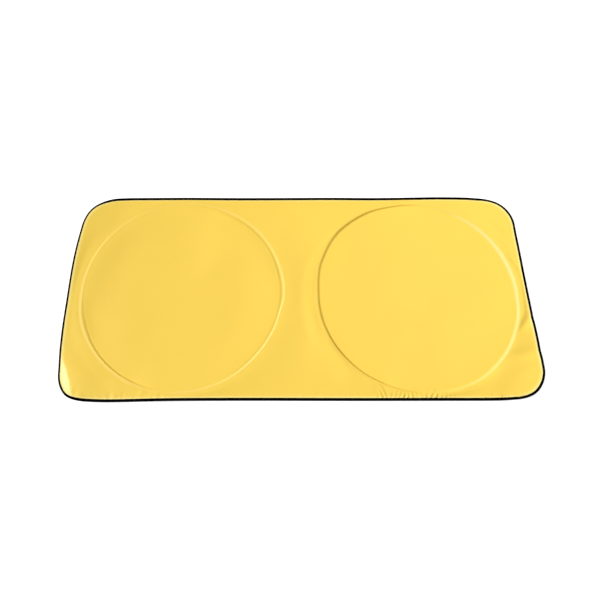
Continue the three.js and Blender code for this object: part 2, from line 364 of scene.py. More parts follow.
# Broad unevenness of the cloth stretched across the hoops
HOOP_SWELLS = [
    Swell(-0.545, -0.13, 0.06, 0.09, 1.9),
    Swell(-0.56, 0.16, 0.05, 0.09, -1.2, turn=-30),
    Swell(-0.45, 0.12, 0.10, 0.06, 1.6, turn=30),
    Swell(-0.285, 0.11, 0.08, 0.12, 3.2, turn=15),
    Swell(-0.28, -0.10, 0.06, 0.12, 1.4, turn=-20),
    Swell(-0.42, -0.20, 0.10, 0.05, 1.3),
    Swell(0.16, 0.08, 0.05, 0.12, 3.4, turn=15),
    Swell(0.31, -0.12, 0.05, 0.10, -1.3, turn=-15),
    Swell(0.42, -0.02, 0.08, 0.12, 1.6, turn=-35),
    Swell(0.56, -0.16, 0.08, 0.06, 1.6, turn=30),
    Swell(0.55, 0.16, 0.09, 0.06, 1.3, turn=-20),
    Swell(0.32, -0.22, 0.12, 0.06, 2.6, turn=-10),
]

# Gathers that the tape's stitches pull in the cloth: swells set square to the edge
PUCKERS = [
    Swell(-0.677, -0.327, 0.0045, 0.011, -1.5, turn=12),
    Swell(-0.662, -0.330, 0.0060, 0.012, 0.8, turn=8),
    Swell(-0.573, -0.333, 0.0045, 0.009, -0.7, turn=-14),
    Swell(-0.558, -0.331, 0.0060, 0.010, 0.5),
    Swell(-0.530, -0.330, 0.0045, 0.011, -0.7, turn=6),
    Swell(-0.473, -0.326, 0.0070, 0.012, 0.8, turn=-20),
    Swell(-0.452, -0.328, 0.0060, 0.010, -0.8, turn=14),
    Swell(-0.417, -0.333, 0.0050, 0.008, -0.7),
    Swell(-0.290, -0.332, 0.0045, 0.012, -0.6, turn=-10),
    Swell(-0.100, -0.330, 0.0060, 0.018, -0.7, turn=10),
    Swell(0.060, -0.330, 0.0060, 0.016, -0.6, turn=-12),
    Swell(0.235, -0.318, 0.0050, 0.016, -0.7, turn=18),
]


class Gathers:
    """A run of small even folds square to the edge, between two places along it."""

    def __init__(self, start, end, pitch, depth, reach):
        self.start, self.end = start, end
        self.pitch, self.depth, self.reach = pitch * MM, depth * MM, reach * MM

    def ripple(self, x, pitches, phase=0.0):
        """A slow sine along the edge, which makes the folds uneven."""
        return np.sin(x / (pitches * self.pitch) + phase)

    def at(self, x, from_tape):
        """Their height at a place along the edge and a distance in from the tape. They fade over
        the last quarter of the way to each end."""
        middle, half = (self.start + self.end) / 2, (self.end - self.start) / 2
        fade = smooth(4 * (1 - np.abs(x - middle) / half))
        along = x + 0.45 * from_tape * self.ripple(x, 1.3)
        drift = 1.1 * self.ripple(along, 3.1) + 0.8 * self.ripple(along, 1.1)
        wave = np.sin(2 * math.pi * along / self.pitch + drift)
        uneven = 0.6 + 0.25 * self.ripple(x, 0.9) + 0.2 * self.ripple(x, 0.37, phase=1)
        reach = self.reach * (0.75 + 0.3 * self.ripple(x, 0.6, phase=2))
        return self.depth * fade * wave * uneven * np.exp(-((from_tape / reach) ** 2))


DASH_GATHERS = [
    Gathers(-0.67, -0.36, 27, 0.42, 18),
    Gathers(-0.36, 0.24, 21, 0.3, 13),
    Gathers(0.22, 0.48, 13.5, 2.4, 26),
    Gathers(0.53, 0.70, 9.5, 2.6, 10),
]
ROOF_GATHERS = [
    Gathers(-0.62, 0.0, 47, 0.22, 12),
    Gathers(0.0, 0.62, 39, 0.2, 12),
]

# The corner by the dash on the left has curled: a ridge runs up from the dash edge and bends away
# to the end, steep on the side of the edge
CURL_FOOT = (-0.684, -0.345)
CURL_BEND = 0.062  # how far the ridge has moved to the left
CURL_LENGTH = 0.190  # over that much height
CURL_MIDDLE = -0.275
CURL_REACH = 0.085
CURL_EDGE = 0.020  # from the dash edge up, where it rises
CURL_RISE = 6.4 * MM
CURL_STEEP = 33 * MM
CURL_GENTLE = 125 * MM


def distance_in(x, y):
    """How far inside the cut edge each place is."""
    radius = np.where(y < 0, DASH_CORNER_RADIUS, ROOF_CORNER_RADIUS)
    half = HALF_WIDTH - END_BOW * (y / HALF_HEIGHT) ** 2
    qx = np.abs(x) - half + radius
    qy = np.abs(y) - HALF_HEIGHT + radius
    outside = np.hypot(np.maximum(qx, 0), np.maximum(qy, 0))
    return radius - outside - np.minimum(np.maximum(qx, qy), 0)


def from_band(x, y, side):
    """Angle round a hoop, and distance outside its band, of each place."""
    dx = x - side * HOOP_CENTRE
    return np.degrees(np.arctan2(y, dx)), np.hypot(dx, y) - HOOP_RADIUS


def above_floor(level):
    """Keeps a level off the floor, easing into it."""
    height = level - FLOOR_LEVEL
    return FLOOR_LEVEL + (height + np.hypot(height, FLOOR_EASE)) / 2


def channel_level(x, y, side):
    """Level of the front cloth by one hoop, where it rests on the band, and inside it."""
    degrees, offset = from_band(x, y, side)
    ramps = CHANNEL_RAMPS[side]

    def climb(at):
        return sum(ramp.at(degrees, at) for ramp in ramps)

    start = CREST_LEVEL - np.min([climb(place) for place in CREST_PLACES], axis=0)
    apart = np.radians((degrees - JOINT_ANGLES[side] + 180) % 360 - 180) * HOOP_RADIUS
    dish = smooth((-offset - DISH_START) / DISH_WIDTHS[side].at(degrees))
    level = above_floor(blend(start, FLOOR_LEVEL, dish)) + climb(offset)
    sleeve = np.exp(-((apart / SLEEVE_REACH) ** 4) - (offset / SLEEVE_SPREAD) ** 2)
    level = level + SLEEVE_RISE * sleeve
    for row in (-SEAM_OFFSET, SEAM_OFFSET):
        level = level - SEAM_DIP * np.exp(-(((offset - row) / SEAM_GROOVE) ** 2))
    return level


def painted_shading_at(x, y):
    """Highlight and shade painted at each place: 1 is a full painted highlight, -1 full painted shade.
    """
    highlight_and_shade = np.zeros(len(x))
    for side in (LEFT, RIGHT):
        degrees, offset = from_band(x, y, side)
        # Painted highlight and painted shade along each slope of the hoop's channel
        for painted_shading, slope in zip(PAINTED_CHANNEL_SHADING[side], CHANNEL_RAMPS[side]):
            across = (offset - slope.offset.at(degrees)) / (SHADING_SHARE * slope.width.at(degrees))
            highlight_and_shade = highlight_and_shade + painted_shading.at(degrees) * np.exp(-(across**2))
    from_tape = np.maximum(distance_in(x, y) - settings().tape.width, 0)
    # Painted shade in the troughs between the gathers by the dash edge
    for gathers in DASH_GATHERS:
        trough = np.where(y < 0, -gathers.at(x, from_tape), 0) / TROUGH_SHADE_DEPTH
        highlight_and_shade = highlight_and_shade - np.clip(trough, 0, 1)
    return highlight_and_shade


def curl_ridge(y):
    """How far across the ridge of the curled corner is, and how high it stands there from 0 to 1."""
    ridge = CURL_FOOT[0] - CURL_BEND * smooth((y - CURL_FOOT[1]) / CURL_LENGTH)
    height = np.exp(-(((y - CURL_MIDDLE) / CURL_REACH) ** 2))
    return ridge, height * smooth((HALF_HEIGHT + y) / CURL_EDGE)


def curled_corner(x, y):
    """Height of the curled corner."""
    ridge, along = curl_ridge(y)
    steep = np.clip(1 - (ridge - x) / CURL_STEEP, 0, 1) ** 1.5
    across = np.where(x < ridge, steep, 1 - smooth((x - ridge) / CURL_GENTLE))
    return CURL_RISE * across * along


def tightness_and_highlight(x, y):
    """How tight the cloth is pulled, from 0 to 1, by the tape's stitches and past the curl: also how
    strongly a highlight is painted there.
    """
    past_tape = distance_in(x, y) - settings().tape.width
    ridge, along = curl_ridge(y)
    curl = smooth((ridge - x) / CURL_TIGHT_HIGHLIGHT) * along
    return np.maximum(np.exp(-((past_tape / TIGHT_HIGHLIGHT_REACH) ** 2)), curl)


def front_level(x, y):
    """Height of the front cloth's underside as it lies, over a place in the flat cut."""
    x, y = np.asarray(x, float), np.asarray(y, float)
    rooms = [np.maximum(from_band(x, y, side)[1] - CHANNEL_REACH, 0) for side in (LEFT, RIGHT)]
    toward_right = smooth(rooms[0] / np.maximum(rooms[0] + rooms[1], 1e-6))
    near = blend(channel_level(x, y, LEFT), channel_level(x, y, RIGHT), toward_right)

    from_edge = distance_in(x, y)
    from_tape = np.maximum(from_edge - settings().tape.width, 0)
    hoop_room = np.minimum(*rooms)
    share = hoop_room / np.maximum(hoop_room + from_tape, 1e-6)
    edge = EDGE_LEVEL + swelling(EDGE_SWELLS, x, y)
    level = blend(near, edge, smooth(share))

    outside = np.minimum(from_band(x, y, LEFT)[1], from_band(x, y, RIGHT)[1])
    level = level + smooth((outside - WEB_START) / WEB_FADE) * swelling(WEB_SWELLS, x, y)
    level = level + smooth(hoop_room / CURL_FADE) * curled_corner(x, y)
    free = smooth((outside - HEM_START) / HEM_FADE) * smooth(from_edge / settings().tape.width)
    level = level + free * swelling(PUCKERS, x, y)
    for runs, edge_side in ((DASH_GATHERS, y < 0), (ROOF_GATHERS, y > 0)):
        for gathers in runs:
            level = level + np.where(edge_side, free * gathers.at(x, from_tape), 0)
    inside = smooth(-outside / HOOP_FADE - HOOP_START)
    level = level + inside * swelling(HOOP_SWELLS, x, y)
    return above_floor(level)


def back_level(x, y):
    """Height of the back cloth's underside: under the bands, and close to the front elsewhere."""
    offset = np.minimum(np.abs(from_band(x, y, LEFT)[1]), np.abs(from_band(x, y, RIGHT)[1]))
    follows = smooth((offset - BACK_START) / BACK_FADE)
    return blend(0.0, front_level(x, y) - LAYER_GAP - settings().cloth.thickness, follows)


END_STRAIGHT = 0.26  # the height to which each end keeps its lean and its bow


class EndLay:
    """How one end lies off its drawn line: moved out, leaning with height, and bowed."""

    def __init__(self, shift, lean, bow):
        self.shift, self.lean, self.bow = shift * MM, lean, bow * MM

    def at(self, y):
        """The move outwards at each height."""
        held = np.clip(y, -END_STRAIGHT, END_STRAIGHT)
        return self.shift + self.lean * held + self.bow * (held / HALF_HEIGHT) ** 2


END_LAYS = {
    LEFT: EndLay(shift=-2.3, lean=0.0024, bow=-11.0),
    RIGHT: EndLay(shift=-5.3, lean=-0.0411, bow=13.6),
}
END_REACH = 0.33  # of each end's leaning cloth, in from its edge


class Pull:
    """A soft sideways move of the edge, strongest at one place."""

    def __init__(self, x, y, reach_x, reach_y, across=0.0, up=0.0):
        self.shape = Swell(x, y, reach_x, reach_y, 1.0)
        self.across, self.up = across, up

    def moves(self, x, y):
        """The two parts of the move at each place."""
        share = self.shape.at(x, y)
        return self.across * share, self.up * share


EDGE_PULLS = [
    Pull(0.00, 0.35, 1.5, 0.2, up=-2.2),
    Pull(-0.14, 0.35, 0.16, 0.1, up=-1.3),
    Pull(0.25, 0.35, 0.12, 0.1, up=-1.7),
    Pull(0.49, 0.35, 0.08, 0.1, up=1.6),
    Pull(-0.575, -0.35, 0.12, 0.1, up=-2.6),
    Pull(-0.660, -0.345, 0.035, 0.05, up=2.0),
    Pull(-0.18, -0.35, 0.25, 0.1, up=1.4),
    Pull(-0.675, 0.345, 0.060, 0.07, up=-6.0),
    Pull(-0.745, 0.270, 0.06, 0.09, across=6.0),
    Pull(-0.715, -0.310, 0.030, 0.030, across=2.5),
    Pull(0.745, -0.270, 0.05, 0.035, across=-2.5),
    Pull(0.740, 0.230, 0.05, 0.06, across=-1.8),
    Pull(0.650, 0.350, 0.048, 0.07, up=-5.2),
    Pull(0.668, -0.345, 0.048, 0.07, up=4.8),
    Pull(0.725, -0.310, 0.04, 0.04, across=-3.0, up=1.5),
    Pull(-0.718, -0.322, 0.045, 0.045, across=-5.0, up=-4.0),
    Pull(-0.745, -0.160, 0.06, 0.09, across=-1.8),
]


def laid_edge(x, y):
    """Where places by the cut edge lie."""
    moved_x, moved_y = np.array(x, float), np.array(y, float)
    for side, lay in END_LAYS.items():
        share = smooth((side * x - HALF_WIDTH) / END_REACH + 1)
        moved_x = moved_x + side * lay.at(y) * share
    for pull in EDGE_PULLS:
        across, up = pull.moves(x, y)
        moved_x, moved_y = moved_x + across, moved_y + up
    return moved_x, moved_y


def settings():
    """The add-on's settings."""
    return bpy.context.scene.sunshade


def outline(step_along_dash, step_elsewhere):
    """The right half of the cut edge, from the middle of the dash edge round to the middle of the
    roof edge: each place with its outward direction."""
    top = HALF_HEIGHT
    bow_radius = (END_BOW**2 + top**2) / (2 * END_BOW)
    bow_centre = HALF_WIDTH - bow_radius

    def corner(radius):
        y = top - radius
        reach = math.sqrt((bow_radius - radius) ** 2 - y**2)
        return bow_centre + reach, y, math.atan2(y, reach)

    dash_x, dash_y, dash_turn = corner(DASH_CORNER_RADIUS)
    roof_x, roof_y, roof_turn = corner(ROOF_CORNER_RADIUS)
    quarter = math.pi / 2
    points = []

    def line(x0, x1, y, step):
        count = max(1, round(abs(x1 - x0) / step))
        for i in range(count):
            points.append((x0 + (x1 - x0) * i / count, y, 0.0, math.copysign(1, y)))

    def arc(x, y, radius, start, end, step):
        count = max(1, round(radius * (end - start) / step))
        for i in range(count):
            turn = start + (end - start) * i / count
            cos, sin = math.cos(turn), math.sin(turn)
            points.append((x + radius * cos, y + radius * sin, cos, sin))

    line(0, dash_x, -top, step_along_dash)
    corner_step = step_elsewhere * DASH_CORNER_SHARE
    arc(dash_x, -dash_y, DASH_CORNER_RADIUS, -quarter, -dash_turn, corner_step)
    arc(bow_centre, 0, bow_radius, -dash_turn, roof_turn, step_elsewhere)
    corner_step = step_elsewhere * ROOF_CORNER_SHARE
    arc(roof_x, roof_y, ROOF_CORNER_RADIUS, roof_turn, quarter, corner_step)
    line(roof_x, 0, top, step_elsewhere)
    points.append((0.0, top, 0.0, 1.0))
    return np.array(points)


def whole_edge(half):
    """The right half of an edge and its mirror image, as one anticlockwise loop."""
    left = half[1:-1][::-1] * [-1, 1, -1, 1]
    return np.concatenate([half, left])


class SheetMesh:
    """Collects the points of a sheet, flat and as they lie, and its faces."""

    def __init__(self):
        self.flat = []
        self.laid = []
        self.faces = []
        self.count = 0

    def add(self, flat, laid):
        """Adds a row of points, and gives their numbers."""
        self.flat.append(flat)
        self.laid.append(laid)
        numbers = np.arange(self.count, self.count + len(flat))
        self.count += len(flat)
        return numbers

    def ring(self, inner, outer):
        """Faces between two closed rows of as many points."""
        rows = (inner, outer, np.roll(outer, -1), np.roll(inner, -1))
        self.faces.extend(zip(*(row.tolist() for row in rows)))

    def coarser_ring(self, inner, outer, every):
        """Faces from a closed row to one with that many times as many points."""
        for i, start in enumerate(inner):
            run = [outer[(every * i + k) % len(outer)] for k in range(every + 1)]
            self.faces.append([int(start), *map(int, run), int(inner[(i + 1) % len(inner)])])

    def fan(self, centre, ring):
        """Faces from a point to a closed row."""
        self.faces.extend((centre, a, b) for a, b in zip(ring.tolist(), np.roll(ring, -1).tolist()))


def cloth_mesh(level):
    """A sheet over both halves, from rings round the hoops and shares of the way to the edge."""
    offsets = [offset * MM for offset in RING_OFFSETS]
    edge = outline(DASH_STEP, EDGE_STEP)
    width = settings().tape.width
    inset = edge[:, :2] - width * edge[:, 2:]
    roof_end, dash_end = inset[-1, 1], inset[0, 1]
    count = round((roof_end - dash_end) / MIDDLE_STEP)
    count -= (len(inset) + count - 1) % COARSE_EVERY
    middle = [(0.0, roof_end + (dash_end - roof_end) * (i + 1) / count) for i in range(count - 1)]
    web_edge = np.concatenate([inset, middle])
    centre = np.array([HOOP_CENTRE, 0.0])
    spokes = web_edge - centre
    spokes = spokes / np.linalg.norm(spokes, axis=1)[:, None]
    sheet = SheetMesh()
    for side in (RIGHT, LEFT):
        flip = np.array([side, 1])
        web_laid = np.stack(laid_edge(*(web_edge * flip).T), -1) * flip

        def loop(flat, laid):
            return sheet.add((flat * flip)[::side], (laid * flip)[::side])

        def ring(radius, every=1):
            places = centre + radius * spokes[::every]
            return loop(places, places)

        radii = np.linspace(0, HOOP_RADIUS + offsets[0] - INNER_GAP, INNER_RINGS + 1)[1:]
        coarse = [ring(radius, COARSE_EVERY) for radius in radii]
        middle_point = sheet.add((centre * flip)[None], (centre * flip)[None])
        sheet.fan(int(middle_point[0]), coarse[0])
        for a, b in zip(coarse, coarse[1:]):
            sheet.ring(a, b)
        fine = [ring(HOOP_RADIUS + offset) for offset in offsets]
        start = centre + (HOOP_RADIUS + offsets[-1]) * spokes
        fine += [loop(blend(start, web_edge, s), blend(start, web_laid, s)) for s in WEB_SHARES]
        turned = 0 if side == RIGHT else -((len(fine[0]) - 1) % COARSE_EVERY)
        sheet.coarser_ring(coarse[-1], np.roll(fine[0], turned), COARSE_EVERY)
        for a, b in zip(fine, fine[1:]):
            sheet.ring(a, b)
    around = whole_edge(edge)
    rows = []
    for inside in (width, width / 2, 0):
        flat = around[:, :2] - inside * around[:, 2:]
        rows.append(sheet.add(flat, np.stack(laid_edge(*flat.T), -1)))
    for a, b in zip(rows, rows[1:]):
        sheet.ring(a, b)
    flat = np.concatenate(sheet.flat)
    laid = np.concatenate(sheet.laid)
    return flat, np.column_stack([laid, level(*flat.T)]), sheet.faces


def new_piece(name, points, faces):
    """A mesh piece of the shade from points and faces."""
    mesh = bpy.data.meshes.new(name)
    mesh.from_pydata(points.tolist(), [], faces)
    piece = bpy.data.objects.new(name, mesh)
    bpy.context.scene.collection.objects.link(piece)
    return piece


def select_only(piece):
    """Makes one object the selected and active one."""
    bpy.ops.object.select_all(action="DESELECT")
    piece.select_set(True)
    bpy.context.view_layer.objects.active = piece


def write_map(piece, name, coordinates):
    """A UV map from one pair of numbers for each point."""
    layer = piece.data.uv_layers.new(name=name)
    corners = np.empty(len(piece.data.loops), np.int32)
    piece.data.loops.foreach_get("vertex_index", corners)
    layer.data.foreach_set("uv", coordinates[corners].astype(np.float32).ravel())


def tidy_faces(piece, merge=0.0):
    """Joins doubled points, turns every face outwards and shades it smooth."""
    select_only(piece)
    bpy.ops.object.mode_set(mode="EDIT")
    bpy.ops.mesh.select_all(action="SELECT")
    if merge:
        bpy.ops.mesh.remove_doubles(threshold=merge)
    bpy.ops.mesh.normals_make_consistent(inside=False)
    bpy.ops.object.mode_set(mode="OBJECT")
    bpy.ops.object.shade_smooth()


def make_sheet(name, level):
    """One cloth, with its cut as its UV map, its tight places and its painted highlights and shade
    marked, and its thickness upwards. Both cloths have the same points, so that neither pokes
    through the other."""
    flat, points, faces = cloth_mesh(level)
    piece = new_piece(name, points, faces)
    write_map(piece, "Cut", flat)
    # Masks of the painted highlights and painted shade, written as numbers on the points
    tight_and_highlight = piece.data.attributes.new("tight_and_highlight", "FLOAT", "POINT")
    tight_and_highlight.data.foreach_set("value", tightness_and_highlight(*flat.T).astype(np.float32))
    painted_shading = piece.data.attributes.new("painted_shading", "FLOAT", "POINT")
    painted_shading.data.foreach_set("value", painted_shading_at(*flat.T).astype(np.float32))
    tidy_faces(piece, merge=DOUBLES)
    if np.mean([face.normal.z for face in piece.data.polygons]) < 0:
        piece.data.flip_normals()
    thicken = piece.modifiers.new("Thickness", "SOLIDIFY")
    thicken.thickness = settings().cloth.thickness
    thicken.offset = 1
    bpy.ops.object.modifier_apply(modifier=thicken.name)
    return piece


def tape_section(width, thickness):
    """The folded tape's section, as pairs of (outwards from the cut edge, up from the edge's
    middle), from the upper leg's woven edge round the fold to the lower leg's and back inside."""
    half = settings().cloth.thickness + LAYER_GAP
    outside = half + thickness
    fold = outside * 1.05
    row = width - TAPE_ROW
    upper = [
        (-width, outside - 0.25 * MM),
        (-width + 0.5 * MM, outside + 0.05 * MM),
        (-row - 0.7 * MM, outside + TAPE_PUFF * 0.6),
        (-row, outside - 0.1 * MM),
        (-row + 0.8 * MM, outside + TAPE_PUFF * 0.7),
        (-0.45 * width, outside + TAPE_PUFF),
        (-0.2 * width, outside + TAPE_PUFF * 0.8),
    ]
    nose = [(0.4 * MM + fold * math.cos(t), fold * math.sin(t)) for t in np.linspace(1.2, -1.2, 6)]
    lower = [(x, -z) for x, z in reversed(upper)]
    inside = [(-width, -half), (-0.5 * width, -half), (0.1 * MM, -half * 0.9)]
    back = [(x, -z) for x, z in reversed(inside)]
    return np.array(upper + nose + lower + inside + back)


def leg_share(x, y):
    """How much of its full width the tape shows."""
    roof = ROOF_LEG * smooth((y - ROOF_LEG_LOW) / ROOF_LEG_FADE)
    roof = roof * smooth((ROOF_LEG_END - np.abs(x)) / ROOF_LEG_FADE)
    left = LEFT_LEG * smooth((-x - LEFT_LEG_START) / END_LEG_FADE)
    right = RIGHT_LEG * smooth((x - RIGHT_LEG_START) / END_LEG_FADE)
    return 1 + roof + left + right


def beside_edge(around, out):
    """Places beside the cut edge as they lie, at one distance outwards, and the edge's level."""
    reach = out * (leg_share(around[:, :1], around[:, 1:2]) if out < 0 else 1)
    flat = around[:, :2] + reach * around[:, 2:]
    held = around[:, :2] + min(out, 0.0) * around[:, 2:]
    return np.stack(laid_edge(*flat.T), -1), front_level(*held.T) - LAYER_GAP / 2


def edge_steps(loop):
    """The length from the last point to each one, round a closed row."""
    return np.linalg.norm(np.diff(loop[:, :2], axis=0, prepend=loop[-1:, :2]), axis=1)


def even_steps(loop, pitch):
    """A closed row of points as evenly spaced ones, with all that they carry."""
    closed = np.concatenate([loop, loop[:1]])
    run = np.concatenate([[0], np.cumsum(np.linalg.norm(np.diff(closed[:, :2], axis=0), axis=1))])
    count = round(run[-1] / pitch)
    at = np.arange(count) * run[-1] / count
    return np.stack([np.interp(at, run, column) for column in closed.T], -1)


class ClothSettings(bpy.types.PropertyGroup):
    """The two sheets."""

    thickness: FloatProperty(
        name="Thickness",
        description="Thickness of each coated sheet",
        default=0.3 * MM,
        min=0.05 * MM,
        max=1 * MM,
        precision=5,
        unit="LENGTH",
    )
    weave: FloatProperty(
        name="Weave",
        description="From one thread of the weave to the next",
        default=0.5 * MM,
        min=0.2 * MM,
        max=2 * MM,
        precision=5,
        unit="LENGTH",
    )
    colour: FloatVectorProperty(
        name="Gold",
        description="Colour of the coated side",
        subtype="COLOR",
        default=(0.900, 0.617, 0.080),
        min=0,
        max=1,
    )
    lining_colour: FloatVectorProperty(
        name="Lining",
        description="Colour of the cabin side",
        subtype="COLOR",
        default=(0.83, 0.55, 0.07),
        min=0,
        max=1,
    )


class TapeSettings(bpy.types.PropertyGroup):
    """The binding round the edge."""

    width: FloatProperty(
        name="Leg Width",
        description="Width of the tape that shows on each side",
        default=7.5 * MM,
        min=4 * MM,
        max=20 * MM,
        precision=4,
        unit="LENGTH",
    )
    thickness: FloatProperty(
        name="Thickness",
        description="Thickness of the tape",
        default=0.5 * MM,
        min=0.1 * MM,
        max=1.5 * MM,
        precision=5,
        unit="LENGTH",
    )
    colour: FloatVectorProperty(
        name="Tape",
        description="Colour of the tape",
        subtype="COLOR",
        default=(0.0022, 0.0018, 0.0016),
        min=0,
        max=1,
    )


class StitchSettings(bpy.types.PropertyGroup):
    """The rows of stitches."""

    pitch: FloatProperty(
        name="Pitch",
        description="From one stitch to the next",
        default=3 * MM,
        min=2 * MM,
        max=8 * MM,
        precision=4,
        unit="LENGTH",
    )
    thread: FloatProperty(
        name="Thread",
        description="Thickness of the thread",
        default=0.4 * MM,
        min=0.1 * MM,
        max=1 * MM,
        precision=5,
        unit="LENGTH",
    )
    gold_thread: FloatVectorProperty(
        name="Gold Thread",
        description="Colour of the thread along the hoops",
        subtype="COLOR",
        default=(0.86, 0.56, 0.09),
        min=0,
        max=1,
    )
    black_thread: FloatVectorProperty(
        name="Black Thread",
        description="Colour of the thread along the tape",
        subtype="COLOR",
        default=(0.004, 0.0037, 0.0035),
        min=0,
        max=1,
    )


class MetalSettings(bpy.types.PropertyGroup):
    """The hoops and their sleeves."""

    steel: FloatVectorProperty(
        name="Spring Steel",
        description="Colour of the blued bands",
        subtype="COLOR",
        default=(0.30, 0.31, 0.33),
        min=0,
        max=1,
    )
    zinc: FloatVectorProperty(
        name="Zinc",
        description="Colour of the plated sleeves",
        subtype="COLOR",
        default=(0.46, 0.48, 0.50),
        min=0,
        max=1,
    )


class StageSettings(bpy.types.PropertyGroup):
    """The floor and the lights."""

    floor_colour: FloatVectorProperty(
        name="Floor",
        description="Colour of the floor",
        subtype="COLOR",
        default=(0.72, 0.72, 0.72),
        min=0,
        max=1,
    )
    floor_glow: FloatProperty(
        name="Floor Glow",
        description="Light that the floor adds where the camera sees it",
        default=0.6,
        min=0,
        max=2,
    )
    key: FloatProperty(
        name="Key Light",
        description="Strength of the soft light from the left",
        default=2.88,
        min=0,
        max=20,
    )
    overhead: FloatProperty(
        name="Overhead Light",
        description="Power of the large soft light above the right half, in watts",
        default=34,
        min=0,
        max=500,
    )
    fill: FloatProperty(
        name="Fill Light",
        description="Power of the small soft light by the curled corner, in watts",
        default=2.8,
        min=0,
        max=100,
    )
    sky: FloatProperty(
        name="Sky",
        description="Strength of the even light from all round",
        default=0.152,
        min=0,
        max=5,
    )


class SunshadeSettings(bpy.types.PropertyGroup):
    """All the settings of the shade."""

    cloth: PointerProperty(type=ClothSettings)
    tape: PointerProperty(type=TapeSettings)
    stitch: PointerProperty(type=StitchSettings)
    metal: PointerProperty(type=MetalSettings)
    stage: PointerProperty(type=StageSettings)


class Nodes:
    """A material under construction, with short ways to add the nodes that it needs."""

    def __init__(self, name):
        self.material = bpy.data.materials.new(name)
        self.material.use_nodes = True
        self.tree = self.material.node_tree
        self.shader = self.tree.nodes["Principled BSDF"]

    def node(self, kind, **values):
        """A node with some of its options set."""
        node = self.tree.nodes.new(kind)
        for key, value in values.items():
            setattr(node, key, value)
        return node

    def link(self, source, target):
        """Joins two sockets."""
        self.tree.links.new(source, target)

    def math(self, operation, *inputs):
        """A sum of numbers and sockets."""
        node = self.node("ShaderNodeMath", operation=operation)
        for socket, value in zip(node.inputs, inputs):
            if isinstance(value, (int, float)):
                socket.default_value = value
            else:
                self.link(value, socket)
        return node.outputs[0]

    def flat_place(self, map_name):
        """The two coordinates of a UV map."""
        source = self.node("ShaderNodeUVMap", uv_map=map_name)
        parts = self.node("ShaderNodeSeparateXYZ")
        self.link(source.outputs[0], parts.inputs[0])
        return source.outputs[0], parts.outputs["X"], parts.outputs["Y"]

    def object_place(self):
        """Object coordinates."""
        return self.node("ShaderNodeTexCoord").outputs["Object"]

    def noise(self, place, scale, detail=2.0):
        """Cloudy noise from 0 to 1."""
        node = self.node("ShaderNodeTexNoise")
        node.inputs["Scale"].default_value = scale
        node.inputs["Detail"].default_value = detail
        self.link(place, node.inputs["Vector"])
        return node.outputs["Fac"]

    def stretched(self, place, factors):
        """A place scaled along each axis."""
        node = self.node("ShaderNodeMapping")
        node.inputs["Scale"].default_value = factors
        self.link(place, node.inputs["Vector"])
        return node.outputs[0]

    def wave(self, coordinate, pitch):
        """A sine along a coordinate, from -1 to 1."""
        return self.math("SINE", self.math("MULTIPLY", coordinate, 2 * math.pi / pitch))

    def span(self, source, low, high):
        """A 0 to 1 value carried to low to high."""
        node = self.node("ShaderNodeMapRange")
        node.inputs["To Min"].default_value = low
        node.inputs["To Max"].default_value = high
        self.link(source, node.inputs["Value"])
        return node.outputs["Result"]

    def mix(self, share, low, high):
        """One colour to another by a share."""
        node = self.node("ShaderNodeMix", data_type="RGBA")
        self.link(share, node.inputs["Factor"])
        node.inputs["A"].default_value = (*low, 1)
        node.inputs["B"].default_value = (*high, 1)
        return node.outputs["Result"]

    def attribute(self, name):
        """A number written on the piece's points."""
        return self.node("ShaderNodeAttribute", attribute_name=name).outputs["Fac"]

    def toward(self, share, source, colour):
        """A source's colour carried to another by a share, which is held from 0 to 1."""
        node = self.node("ShaderNodeMix", data_type="RGBA")
        self.link(share, node.inputs["Factor"])
        self.link(source, node.inputs["A"])
        node.inputs["B"].default_value = (*colour, 1)
        return node.outputs["Result"]

    def background_rays(self):
        """1 where the camera, or a mirror or glass in its sight, sees the surface."""
        path = self.node("ShaderNodeLightPath")
        seen = self.math("ADD", path.outputs["Is Camera Ray"], path.outputs["Is Glossy Ray"])
        return self.math("ADD", seen, path.outputs["Is Transmission Ray"])

    def bump(self, height, strength, distance):
        """Turns a height into small relief on the shader."""
        node = self.node("ShaderNodeBump")
        node.inputs["Strength"].default_value = strength
        node.inputs["Distance"].default_value = distance
        self.link(height, node.inputs["Height"])
        self.link(node.outputs[0], self.shader.inputs["Normal"])

    def set(self, **values):
        """Sets sockets of the shader, with _ for each space in their names."""
        for key, value in values.items():
            self.shader.inputs[key.replace("_", " ")].default_value = value


def shifted(colour, factors):
    """A colour with its red, green and blue each multiplied."""
    return tuple(min(1.0, part * factor) for part, factor in zip(colour, factors))


def tinted(colour, factor):
    """A colour made lighter or darker."""
    return shifted(colour, (factor, factor, factor))


